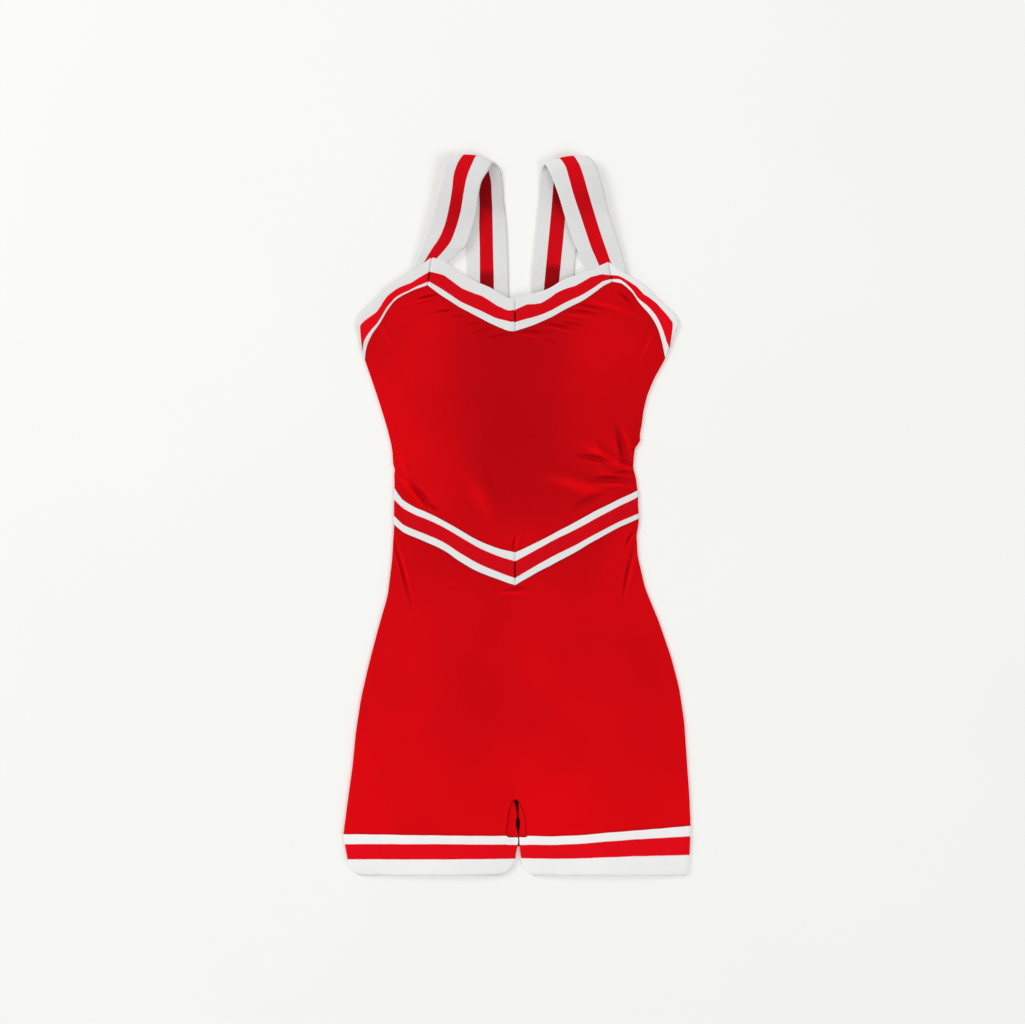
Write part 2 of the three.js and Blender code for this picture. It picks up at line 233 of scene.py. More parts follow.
def red_knit(name, bright, deep, wale=0.9 * MM, tone=0.56, deeper_middle=None, painted_slit_shade=False):
    """Smooth stretch knit: fine stitches, a soft sheen, and painted shade and highlight along its folds.

    It is brighter low down. Its middle can be darker: how far from the middle, and above which level, are
    given. The gusset's map of how far it sinks into the slit, when asked for, paints shade into the cloth
    there.
    """
    cloth = Cloth(name, 0.12, (0.9, 0.02, 0.03, 1), 0.03)
    u, v, place = cloth.plane("knit")
    broad = cloth.cloud(place, 6.0, 2.0)
    speckle = cloth.cloud(place, 900.0, 2.0)
    yarn = knit_relief(u, v, wale, 0.8 * wale)
    # The fold map paints shade into the furrows of the folds and highlight onto their ridges: painted shade
    # and painted highlight.
    fold, *_ = cloth.plane("fold")
    shade = tone + (broad - 0.5) * 0.9 + (speckle - 0.5) * 0.16 + (yarn - 0.5) * 0.14
    shade = shade + (fold - 0.5) * 1.5
    # Darker towards the middle, above a given level.
    if deeper_middle:
        reach, level = deeper_middle
        middle = 1.0 - u.size().step(reach - 0.07, reach + 0.03)
        shade = shade - middle * v.step(level - 0.12, level + 0.1) * 0.44
    shade = shade + (1.0 - v.step(-0.33, -0.16)) * 0.26
    colour = shade.step(0.0, 1.0).mix(deep, bright)
    if painted_slit_shade:
        # Painted shade: the cloth goes near black where it sinks into the slit.
        crease_shade, *_ = cloth.plane("crease_shade")
        colour = crease_shade.mix(colour, (0.012, 0.0, 0.0005, 1))
    roughness = 0.52 + broad * 0.12 + (1.0 - yarn) * 0.1
    return cloth.finish(colour, roughness, yarn + speckle * 0.4, 0.12 * MM)


RED = (0.73, 0.0012, 0.004, 1)
DEEP_RED = (0.46, 0.0006, 0.0035, 1)
WHITE = (0.93, 0.93, 0.925, 1)
SHADED_WHITE = (0.82, 0.825, 0.83, 1)
SEAM_SHADOW = (0.16, 0.002, 0.006, 1)


def striped(name, relief_of, depth, ragged, red, white, shadow_rims=(0, 0), shaded=False):
    """White, red and white stripes knitted in, whose boundaries step with the stitches.

    red and white are how bright each is. The rims are how wide the painted shadow line is along each edge
    where it is sewn over the cloth. shaded paints shade into the red and the white by the two values of the
    shade map.
    """
    cloth = Cloth(name, 0.03, (1, 0.9, 0.9, 1), 0.05)
    u, v, place = cloth.plane("knit")
    _, across, _ = cloth.plane("stripe")
    relief = relief_of(u, v)
    stagger = ((u / (1.3 * MM)).fraction() * 2.0 - 1.0).size() * ragged
    edge = across + stagger - ragged / 2
    middle = edge.step(0.996, 1.004) * (1.0 - edge.step(1.996, 2.004))
    soiled = cloth.cloud(place, 18.0, 4.0)
    speckle = cloth.cloud(place, 1100.0, 2.0)
    tone = (soiled * 0.7 + relief * 0.5 + speckle * 0.25 - 0.3).step(0.0, 0.9)
    white_stripe = tone.mix((white * 0.88, white * 0.885, white * 0.89, 1), (white, white, white * 0.99, 1))
    red_stripe = tone.mix((red * 0.82, 0.001, red * 0.008, 1), (red, 0.0015, red * 0.011, 1))
    if shaded:
        # Painted shade: the shade map darkens the red and the white inside the straps' loops and behind the
        # neckline, and darkens the red halfway down the fronts.
        shade, pale, _ = cloth.plane("shade")
        white_stripe = pale.mix(white_stripe, (white * 0.76, white * 0.73, white * 0.73, 1))
        red_stripe = shade.mix(red_stripe, (red * 0.3, 0.0002, 0.002, 1))
    colour = middle.mix(white_stripe, red_stripe)
    # Painted shadow: a dark red line along the edges where the trim lies over the cloth.
    if shadow_rims[0]:
        colour = across.step(shadow_rims[0] * 0.4, shadow_rims[0]).mix(SEAM_SHADOW, colour)
    if shadow_rims[1]:
        colour = across.step(3 - shadow_rims[1], 3 - shadow_rims[1] * 0.4).mix(colour, SEAM_SHADOW)
    roughness = 0.62 + soiled * 0.12 + (1.0 - relief) * 0.08
    return cloth.finish(colour, roughness, relief + speckle * 0.3, depth)


def trim_knit(u, v):
    """The trims' knit runs across them."""
    return knit_relief(v, u, 1.25 * MM, 1.0 * MM)


def elastic_weave(u, v):
    """Woven elastic: fine ribs across the webbing, over warp threads that shift at every second rib."""
    rib, warp = 1.5 * MM, 0.75 * MM
    odd = ((u / (2 * rib)).fraction() - 0.5).size().step(0.24, 0.26)
    shifted = v + odd * (warp / 2)
    return u.wave(rib) * 0.5 + v.wave(warp) * 0.15 + shifted.wave(warp) * 0.35


def plain_white(name, relief_of, depth):
    cloth = Cloth(name, 0.1, (1, 1, 1, 1), 0.2)
    u, v, place = cloth.plane("knit")
    relief = relief_of(u, v)
    tone = (relief * 0.6 + cloth.cloud(place, 40.0) * 0.6 - 0.2).step(0.0, 0.9)
    return cloth.finish(tone.mix(SHADED_WHITE, WHITE), 0.65 + relief * 0.1, relief, depth)


def thread(name, light, dark):
    """Twisted sewing thread: two plies that wind round each other."""
    cloth = Cloth(name, 0.0, (1, 1, 1, 1), 0.08)
    u, v, place = cloth.plane("knit")
    plies = (u + v * 1.6).wave(0.8 * MM)
    fuzz = cloth.cloud(place, 1500.0)
    return cloth.finish((plies * 0.7 + fuzz * 0.4).mix(dark, light), 0.5 + fuzz * 0.2, plies, 0.12 * MM)


def paper(name):
    """Pale matt paper, for the floor."""
    cloth = Cloth(name, 0.0, (1, 1, 1, 1), 0.1)
    place = cloth.start.node("ShaderNodeTexCoord", output=3)
    tone = cloth.cloud(place, 3.0, 2.0)
    fibre = cloth.cloud(place, 400.0, 3.0)
    colour = tone.mix((0.88, 0.885, 0.862, 1), (0.905, 0.91, 0.89, 1))
    return cloth.finish(colour, 0.9, fibre, 0.05 * MM)


# Painted shadow along a trim's inner edge only, by default.
SHADOW_INSIDE = (0.07, 0)
DARK_RED = (0.5, 0.002, 0.006, 1)
DEEPER_RED = (0.36, 0.001, 0.004, 1)


def trim(name, red, white, shadow_rims=SHADOW_INSIDE):
    return striped(name + " trim knit", trim_knit, 0.18 * MM, 0.05, red, white, shadow_rims)


FINISH = {
    "bodice": red_knit("bodice knit", RED, DEEP_RED, tone=0.5, deeper_middle=(0.07, 0.02)),
    "shorts": red_knit("shorts knit", RED, DEEP_RED, 0.95 * MM, deeper_middle=(0.11, -0.06)),
    "gusset": red_knit("gusset knit", RED, DEEP_RED, tone=0.6, painted_slit_shade=True),
    "lining": red_knit("lining knit", DARK_RED, DEEPER_RED, 1.2 * MM),
    "hem": trim("hem", 0.84, 0.93, shadow_rims=(0, 0.045)),
    "neck": trim("neck", 0.7, 0.79),
    "armhole_trim_left": trim("left armhole", 0.82, 0.79),
    # The right armhole trim is painted brighter than the left: painted light on its outer face, which turns
    # away from the window.
    "armhole_trim_right": trim("right armhole", 0.86, 0.9),
    "waist": trim("waist", 0.67, 0.83, shadow_rims=(0.12, 0.06)),
    "strap": striped("striped webbing", elastic_weave, 0.2 * MM, 0.02, 0.72, 0.79, shaded=True),
    "elastic": plain_white("waist elastic", elastic_weave, 0.2 * MM),
    "red thread": thread("red thread", (0.66, 0.003, 0.008, 1), (0.45, 0.002, 0.005, 1)),
    "grey thread": thread("grey thread", (0.5, 0.5, 0.51, 1), (0.36, 0.36, 0.37, 1)),
    "seam thread": thread("gusset thread", (0.16, 0.001, 0.003, 1), (0.08, 0.0005, 0.001, 1)),
    # The mitre thread is near black: real stitching, darkened as painted shade for the groove of the seam.
    "dark thread": thread("mitre thread", (0.03, 0.001, 0.002, 1), (0.012, 0.0005, 0.001, 1)),
}


# ---- Lines read from the frame ----
def outline(node):
    """The loop round the top of a CAD node, seen from above, as points in metres."""
    sheet = bmesh.new()
    sheet.from_mesh(frame["nodes"][node].data)
    bmesh.ops.remove_doubles(sheet, verts=sheet.verts, dist=1e-6)
    sheet.normal_update()
    upward = {f for f in sheet.faces if f.normal.z > 0.5}
    after = {}
    for face in upward:
        for loop in face.loops:
            if len(upward.intersection(loop.edge.link_faces)) == 1:
                after[loop.vert.index] = loop.link_loop_next.vert.index
    sheet.verts.ensure_lookup_table()
    at = next(iter(after))
    loop = [at]
    while after[loop[-1]] != at:
        loop.append(after[loop[-1]])
    points = np.array([sheet.verts[i].co[:2] for i in loop])
    sheet.free()
    return points


def lengths(line):
    """How far along a line each of its points lies."""
    return np.concatenate([[0], np.cumsum(np.linalg.norm(np.diff(line, axis=0), axis=1))])


def smooth(line, count):
    """A smooth curve through a line's points, as count points evenly spread."""
    along = lengths(line)
    slopes = np.gradient(line, along, axis=0)
    at = np.linspace(0, along[-1], count)
    i = np.clip(np.searchsorted(along, at, side="right") - 1, 0, len(line) - 2)
    span = along[i + 1] - along[i]
    t = ((at - along[i]) / span)[:, None]
    span = span[:, None]
    rise = t * t * (3 - 2 * t)
    bow = t * (1 - t) ** 2 * slopes[i] - t * t * (1 - t) * slopes[i + 1]
    return line[i] * (1 - rise) + line[i + 1] * rise + span * bow


def band_edges(node):
    """The lower and upper long edges of a band of trim, each from left to right."""
    loop = outline(node)
    back = loop - np.roll(loop, 1, axis=0)
    ahead = np.roll(loop, -1, axis=0) - loop
    turn = np.abs(np.angle(np.exp(1j * (np.arctan2(*ahead.T[::-1]) - np.arctan2(*back.T[::-1])))))
    corners = sorted(np.argsort(turn)[-4:])
    runs = [
        np.take(loop, range(a, b + 1 if b > a else b + 1 + len(loop)), axis=0, mode="wrap")
        for a, b in zip(corners, corners[1:] + corners[:1])
    ]
    runs.sort(key=lambda run: lengths(run)[-1])
    sides = [run[np.argsort(run[:, 0])] for run in runs[2:]]
    return sorted(sides, key=lambda run: run[:, 1].mean())


FRONT_PARTS = ("front", "armhole", "neckline", "waist", "hem")
FRONT = [node for node in frame["nodes"] if node.startswith(FRONT_PARTS) and "back" not in node]

# Where each side seam swells or nips in: the level and its reach, in metres, and how far out, in mm.
LEFT_BULGES = [(0.0485, 0.0025, 1.2), (0.058, 0.005, -0.6)]
RIGHT_BULGES = [
    (0.08, 0.005, 2.6), (0.0705, 0.0022, -0.8), (0.04, 0.008, 1.4), (0.026, 0.011, 1.8),
    (0.058, 0.005, 0.8), (-0.022, 0.009, -1.5), (-0.175, 0.055, 2.2),
]


def ease_side(levels, line, bulges):
    """A side seam made smooth, with its bulges."""
    blur = np.exp(-0.5 * (np.arange(-6, 7) / 2.0) ** 2)
    line = np.convolve(np.pad(line, 6, mode="edge"), blur / blur.sum(), mode="valid")
    for level, reach, out in bulges:
        line = line + out * MM * np.exp(-(((levels - level) / reach) ** 2))
    return line


def side_lines():
    """How far left and right the garment reaches at each level."""
    levels = np.arange(-0.3878, 0.204, 0.002)
    left, right = np.full(len(levels), 1.0), np.full(len(levels), -1.0)
    for node in FRONT:
        loop = outline(node)
        for a, b in zip(loop, np.roll(loop, -1, axis=0)):
            low, high = (a, b) if a[1] < b[1] else (b, a)
            crossed = (levels >= low[1] - 1e-4) & (levels <= high[1] + 1e-4)
            share = (levels - low[1]) / max(high[1] - low[1], 1e-6)
            x = low[0] + np.clip(share, 0, 1) * (high[0] - low[0])
            left[crossed] = np.minimum(left[crossed], x[crossed])
            right[crossed] = np.maximum(right[crossed], x[crossed])
    return levels, ease_side(levels, left, LEFT_BULGES), ease_side(levels, right, RIGHT_BULGES)


LEVELS, LEFT, RIGHT = side_lines()


def left_side(y):
    return np.interp(y, LEVELS, LEFT)


def right_side(y):
    return np.interp(y, LEVELS, RIGHT)


# ---- How the cloth lies ----
SIDE_HEIGHT = 2.3 * MM  # the height of the middle of the front cloth at the side seams
LEAST_HEIGHT = 2.1 * MM  # and its least height anywhere

# How much higher the front lies away from its sides, in mm: the level, and the rise.
LOFT = np.array([
    (-388, 5.2), (-308, 6.6), (-138, 7.6), (12, 6.6), (72, 8.4), (132, 11.0), (202, 6.6), (252, 4.6),
    (302, 4.2),
]) * MM

CROTCH, LEGS_MEET = -0.305, -0.248  # below the first the legs are apart, and above the second they are one
GUSSET_MIDDLE = -0.00195
BUST = (0.078, 0.148, 0.055, 0.06)  # how far out and at which level it is fullest, and its spread both ways

# Folds in the front: where each lies, its heading in degrees, its half length, its width and its height,
# in mm. A negative height is a furrow.
FOLDS = [
    # Gathers below the neckline, left and right
    (-95.5, 234.5, 12, 10, 1.6, -1.9), (-101, 230.5, 12, 15, 2, 1.2), (-78, 219, 8, 9, 1.7, -1.5),
    (-63, 213.4, 4, 6, 1.5, -1.2), (-45, 205, 8, 8, 1.7, -1.0), (-35, 198, 10, 9, 1.9, -1.1),
    (-21, 191, 11, 13, 2.1, -1.7), (19, 196, -3, 14, 2, -2.0), (17.5, 191, -13, 17, 2.2, 1.3),
    (44, 203, -10, 12, 1.9, -1.8), (46, 199, -13, 18, 2.1, 1.1), (71, 218, -7, 15, 1.9, -1.7),
    (66, 213, -11, 14, 2, 1.0), (80, 223.5, -11, 14, 1.8, -1.5), (100, 224, -17, 22, 3.2, 1.4),
    (117.3, 232.8, -42, 7, 1.9, -2.0), (-140, 192, -62, 14, 3, 0.7), (141, 182, 62, 14, 3, 0.7),
    (-12, 198, 20, 6, 1.4, 0.9), (33, 187, -16, 14, 1.9, -1.1), (60, 205, -10, 12, 1.7, -1.1),
    # The right of the waist
    (113.5, 73, -78, 15, 4.6, -3.2), (121.5, 55.3, -30, 6, 2.2, -5.0), (121, 75, -70, 14, 3.6, 1.4),
    (97, 61.5, -30, 19, 4.2, 3.1), (116, 51.5, -12, 12, 3, 1.8), (87, 72, -50, 10, 3, 0.9),
    (83, 61.2, -9, 14, 3.2, -2.7), (115.5, 46, 0, 9, 1.8, -2.0), (100, 38, -2, 14, 4, -3.4),
    (105, 32.6, -2, 14, 3.2, 1.2), (66, 31, -16, 26, 8, 1.7), (126, 70.5, 10, 5, 1.7, -2.2),
    (78, 15.5, 26, 15, 5, -1.7),
    # The left of the waist
    (-102, 20, -50, 12, 4.0, -2.6), (-89, 8, -40, 5, 2.2, -1.8), (-113.5, 26, -50, 16, 3.4, 2.0),
    (-121, 50, -70, 12, 3.2, 1.0), (-40, 18, -62, 22, 9, 0.9), (-24, 30, -58, 18, 7, -0.8),
    # The pinch in the middle of the waist, above and below the trim
    (-3.4, -32, 84, 6, 1.5, -1.4), (1.2, -29, 76, 7, 2.6, 1.2), (-1, -79.5, 6, 10, 2.2, -1.6),
    (-3, -84, 0, 12, 3, 0.9),
    # The tops of the shorts' legs
    (-124.5, -56, -74, 30, 2.0, -2.4), (-119, -60, -74, 28, 3, 0.9), (-130, -45, -70, 16, 2.4, 0.6),
    (121.2, -24, 63, 7, 1.8, -3.0), (119.5, -60, 78, 26, 2.4, -1.5), (124.5, -56, 77, 22, 3, 1.0),
]


def in_fold(x, y, fold, bow=0.0):
    """How far along and across a fold each point lies, in its half lengths and its widths."""
    px, py, heading, half, width, _ = fold
    turn = math.radians(heading)
    dx, dy = x - px * MM, y - py * MM
    along = (dx * math.cos(turn) + dy * math.sin(turn)) / (half * MM)
    across = (dy * math.cos(turn) - dx * math.sin(turn) + bow * along**2) / (width * MM)
    return along, across


def folds_at(x, y):
    """How far the folds lift the cloth: each is a bowed ridge with a shallow valley on either side."""
    lift = np.zeros_like(x)
    for fold in FOLDS:
        along, across = in_fold(x, y, fold, 0.5 * MM)
        lift += fold[-1] * MM * np.exp(-(along**2)) * (1 - 0.9 * across**2) * np.exp(-0.8 * across**2)
    return lift


def near_fold(x, y):
    """Where the cloth needs a finer net, because a fold bends it."""
    near = np.zeros(x.shape, bool)
    for fold in FOLDS:
        along, across = in_fold(x, y, fold)
        near |= (np.abs(along) < 1.7) & (np.abs(across) < 2.6)
    return near


def swell(x, y, seed, scale):
    """Slow rises and falls in the cloth, from -1 to 1."""
    return np.array([noise.noise((a * scale, b * scale, seed)) for a, b in zip(x, y)])


def front_height(x, y):
    """The height of the middle of the front cloth."""
    x, y = np.asarray(x, float), np.asarray(y, float)
    left, right = left_side(y), right_side(y)
    half = (right - left) / 2
    share = np.clip(np.abs((x - (left + right) / 2) / half), 0, 1)
    torso = 1 - share**3.4
    middle = np.clip(1 - np.abs(x - GUSSET_MIDDLE) / (half * 0.9), 0, 1)
    legs = np.clip(torso - middle**5, 0, 1)
    apart = 1 - np.clip((y - CROTCH) / (LEGS_MEET - CROTCH), 0, 1) ** 0.7
    shape = torso * (1 - apart) + legs * apart
    loft = np.interp(y, LOFT[:, 0], LOFT[:, 1])
    calm = np.clip(shape * 3, 0, 1)
    out, level, wide, tall = BUST
    bust = sum(np.exp(-(((x - way * out) / wide) ** 2) - ((y - level) / tall) ** 2) for way in (1, -1))
    uneven = swell(x, y, 3.0, 11.0) * 0.55 * MM + swell(x, y, 9.0, 34.0) * 0.16 * MM
    height = SIDE_HEIGHT + loft * shape + calm * (bust * 0.8 * MM + uneven + folds_at(x, y))
    return np.maximum(height, LEAST_HEIGHT)


def back_height(x, y):
    """The height of the middle of the back cloth: flat, and lifted where it turns up to the side seams."""
    x, y = np.asarray(x, float), np.asarray(y, float)
    inside = np.minimum(x - left_side(y), right_side(y) - x)
    return 0.75 * MM + 0.7 * MM * np.exp(-np.clip(inside, 0, 1) / (2.2 * MM))


# ---- Making meshes ----
def new_piece(name, points, faces, maps, finish, sharp=50):
    """A mesh with its UV maps, given for each point, and its finish."""
    data = bpy.data.meshes.new(name)
    data.from_pydata([tuple(p) for p in points], [], [tuple(int(i) for i in f) for f in faces])
    data.validate()
    corners = np.empty(len(data.loops), int)
    data.loops.foreach_get("vertex_index", corners)
    for map_name, values in maps.items():
        data.uv_layers.new(name=map_name).data.foreach_set("uv", np.asarray(values)[corners].ravel())
    data.polygons.foreach_set("use_smooth", [True] * len(data.polygons))
    data.set_sharp_from_angle(angle=math.radians(sharp))
    data.materials.append(FINISH[finish])
    piece = bpy.data.objects.new(name, data)
    bpy.context.scene.collection.objects.link(piece)
    return piece


def closed_sheet(faces, count):
    """The faces of a sheet's top, the same for its underside, and the wall round its edges."""
    faces = [list(f) for f in faces]
    seen = dict.fromkeys((a, b) for face in faces for a, b in zip(face, face[1:] + face[:1]))
    walls = [(b, a, a + count, b + count) for a, b in seen if (b, a) not in seen]
    return faces + [[i + count for i in face[::-1]] for face in faces] + walls


def even_net(low, high, spacing):
    """Points at the corners of even triangles."""
    rows = np.arange(low[1], high[1], spacing * 0.866)
    net = [
        (x, y)
        for i, y in enumerate(rows)
        for x in np.arange(low[0] + (i % 2) * spacing / 2, high[0], spacing)
    ]
    return np.array(net)


def fill(edge, spacing, fine=None):
    """Fills an outline with an even net of triangles, or with a finer one near the folds."""
    low, high = edge.min(0), edge.max(0)
    net = even_net(low, high, spacing)
    if fine:
        close = even_net(low, high, fine)
        net = np.vstack([net[~near_fold(*net.T)], close[near_fold(*close.T)]])
    a, b = edge, np.roll(edge, -1, axis=0)
    inside = np.zeros(len(net), bool)
    near = np.full(len(net), 1.0)
    for p, q in zip(a, b):
        crosses = (p[1] > net[:, 1]) != (q[1] > net[:, 1])
        reach = p[0] + (net[:, 1] - p[1]) / (q[1] - p[1] if q[1] != p[1] else 1e-9) * (q[0] - p[0])
        inside ^= crosses & (net[:, 0] < reach)
        run = q - p
        t = np.clip(((net - p) @ run) / max(run @ run, 1e-12), 0, 1)
        near = np.minimum(near, np.linalg.norm(net - (p + t[:, None] * run), axis=1))
    net = net[inside & (near > (fine or spacing) * 0.45)]
    points = [Vector(p) for p in np.vstack([edge, net])]
    ring = list(range(len(edge)))
    points, _, faces, *_ = delaunay_2d_cdt(points, [], [ring], 1, 1e-7)
    return np.array([p[:] for p in points]), faces


def panel(name, edge, middle_of, thickness, finish, spacing=2.6 * MM, fine=None, crease_shade=None):
    """A cut piece of cloth: its outline filled and laid at middle_of(x, y), with any map of painted shade
    where it sinks.
    """
    plan, faces = fill(edge, spacing, fine)
    middle = middle_of(plan[:, 0], plan[:, 1])
    top = np.column_stack([plan, middle + thickness / 2])
    under = np.column_stack([plan, middle - thickness / 2])
    lift = folds_at(*plan.T) if "front" in name else np.zeros(len(plan))
    # The fold map: how far the folds lift or sink the cloth, read by the knit as painted highlight on ridges
    # and painted shade in furrows.
    fold = np.column_stack([np.clip(0.5 + lift / (4 * MM), 0, 1), plan[:, 1]])
    maps = {"knit": np.vstack([plan, plan]), "fold": np.vstack([fold, fold])}
    if crease_shade:
        maps["crease_shade"] = np.vstack([crease_shade(*plan.T)] * 2)
    return new_piece(name, np.vstack([top, under]), closed_sheet(faces, len(plan)), maps, finish)


# Where rows of a band's net lie: 0 to 1 is its inner stripe, 1 to 2 its middle one and 2 to 3 its outer one.
BAND_ROWS = np.array([0, 0.05, 0.14, 0.3, 0.5, 0.75, 1, 1.25, 1.5, 1.75, 2, 2.25, 2.5, 2.7, 2.86, 2.95, 3])


def stripe_place(rows, lower, upper):
    """How far across a band each row lies, given how far across its middle stripe starts and ends."""
    inner = np.clip(rows, 0, 1)[None, :] * lower[:, None]
    middle = np.clip(rows - 1, 0, 1)[None, :] * (upper - lower)[:, None]
    outer = np.clip(rows - 2, 0, 1)[None, :] * (1 - upper)[:, None]
    return inner + middle + outer


def strip(rows, wide):
    """The quads between the points of a net, row by row."""
    starts = [i * wide + j for i in range(rows - 1) for j in range(wide - 1)]
    return [(k, k + wide, k + wide + 1, k + 1) for k in starts]


def rounded(gap, radius):
    """0 at an edge and 1 from that radius inwards, along a quarter of a circle."""
    return np.sqrt(np.clip(1 - (1 - np.clip(gap / radius, 0, 1)) ** 2, 0, 1))


def band_maps(along, place, widths):
    """A band's knit map, in metres, and its stripe map, for its top and its underside."""
    rows, wide = place.shape
    knit = np.column_stack([np.repeat(along, wide), (place * widths[:, None]).ravel()])
    stripe = np.column_stack([np.repeat(along, wide), np.tile(BAND_ROWS, rows)])
    return {"knit": np.vstack([knit, knit]), "stripe": np.vstack([stripe, stripe])}


def band(name, trim, middle_of, thickness, finish, puff=0.0, above=0.0, reshape=None):
    """A striped band between two edges. trim holds them and where its middle stripe starts and ends.

    puff is how much its middle stands up, and above how far it lies over the cloth.
    """
    low, high, first, second = trim
    place = stripe_place(BAND_ROWS, first, second)
    plan = low[:, None, :] + place[:, :, None] * (high - low)[:, None, :]
    if reshape:
        plan = reshape(plan)
    widths = np.linalg.norm(high - low, axis=1)
    along = lengths((low + high) / 2)
    edge_gap = np.minimum(place, 1 - place) * widths[:, None]
    end_gap = np.minimum(along, along[-1] - along)[:, None]
    crown = rounded(edge_gap, 1.3 * MM) * rounded(end_gap, 1.2 * MM)
    flat = plan.reshape(-1, 2)
    middle = middle_of(flat[:, 0], flat[:, 1]).reshape(crown.shape)
    top = middle + above + crown * (thickness / 2 + puff * np.sin(np.pi * place))
    under = middle + above - thickness / 2 * (0.4 + 0.6 * crown)
    points = np.vstack([np.column_stack([flat, top.ravel()]), np.column_stack([flat, under.ravel()])])
    faces = closed_sheet(strip(*crown.shape), len(flat))
    return new_piece(name, points, faces, band_maps(along, place, widths), finish)


# One stitch: how far along it each of its rings lies, and how high, in radii of its thread.
STITCH_RINGS = np.array([-0.5, -0.36, 0, 0.36, 0.5])
STITCH_DIP = np.array([-1.4, 0.2, 0.75, 0.2, -1.4])
SIDES = 6


def one_stitch(x, y, z, radius, base):
    """The points and faces of one length of thread that dips into the cloth at both ends."""
    run = Vector((x[-1] - x[0], y[-1] - y[0], 0)).normalized()
    side = Vector((-run.y, run.x, 0))
    turns = [k * math.tau / SIDES for k in range(SIDES)]
    ring = [side * math.cos(turn) * radius + Vector((0, 0, math.sin(turn) * radius)) for turn in turns]
    points = [(x[i] + off.x, y[i] + off.y, z[i] + off.z) for i in range(len(x)) for off in ring]
    last = base + SIDES * (len(x) - 1)
    faces = []
    for start in range(base, last, SIDES):
        for k in range(SIDES):
            a, b = start + k, start + (k + 1) % SIDES
            faces.append((a, a + SIDES, b + SIDES, b))
    return points, faces + [range(base, base + SIDES), range(last, last + SIDES)[::-1]]


def stitches(
    name, line, height_of, finish, pitch=3.2 * MM, stitch=2.3 * MM, radius=0.22 * MM, slot="red_knit"
):
    """A row of stitches along a line: how far apart they start, and each one's length and radius."""
    along = lengths(line)
    points, faces, knit = [], [], []
    for start in np.arange(pitch / 2, along[-1] - pitch / 2, pitch):
        at = start + STITCH_RINGS * stitch
        x, y = (np.interp(at, along, line[:, k]) for k in (0, 1))
        made = one_stitch(x, y, height_of(x, y) + STITCH_DIP * radius, radius, len(points))
        points += made[0]
        faces += made[1]
        knit += [(t, k * radius) for t in at for k in range(SIDES)]
    return new_piece(name, points, faces, {"knit": knit}, finish, 80)


def sheet(piece, width, length, held="laid", rests_on=(), area=None):
    """Takes a sheet of cloth and the size it was cut to, and does nothing with them: none of its arguments is
    used.
    """


def area_of(edge):
    x, y = edge.T
    return abs(np.dot(x, np.roll(y, -1)) - np.dot(y, np.roll(x, -1))) / 2


# ---- The trims ----
TRIM_THICKNESS = 1.0 * MM
TRIM_RAISED = 0.85 * MM  # how far a trim's middle lies above the middle of the cloth under it

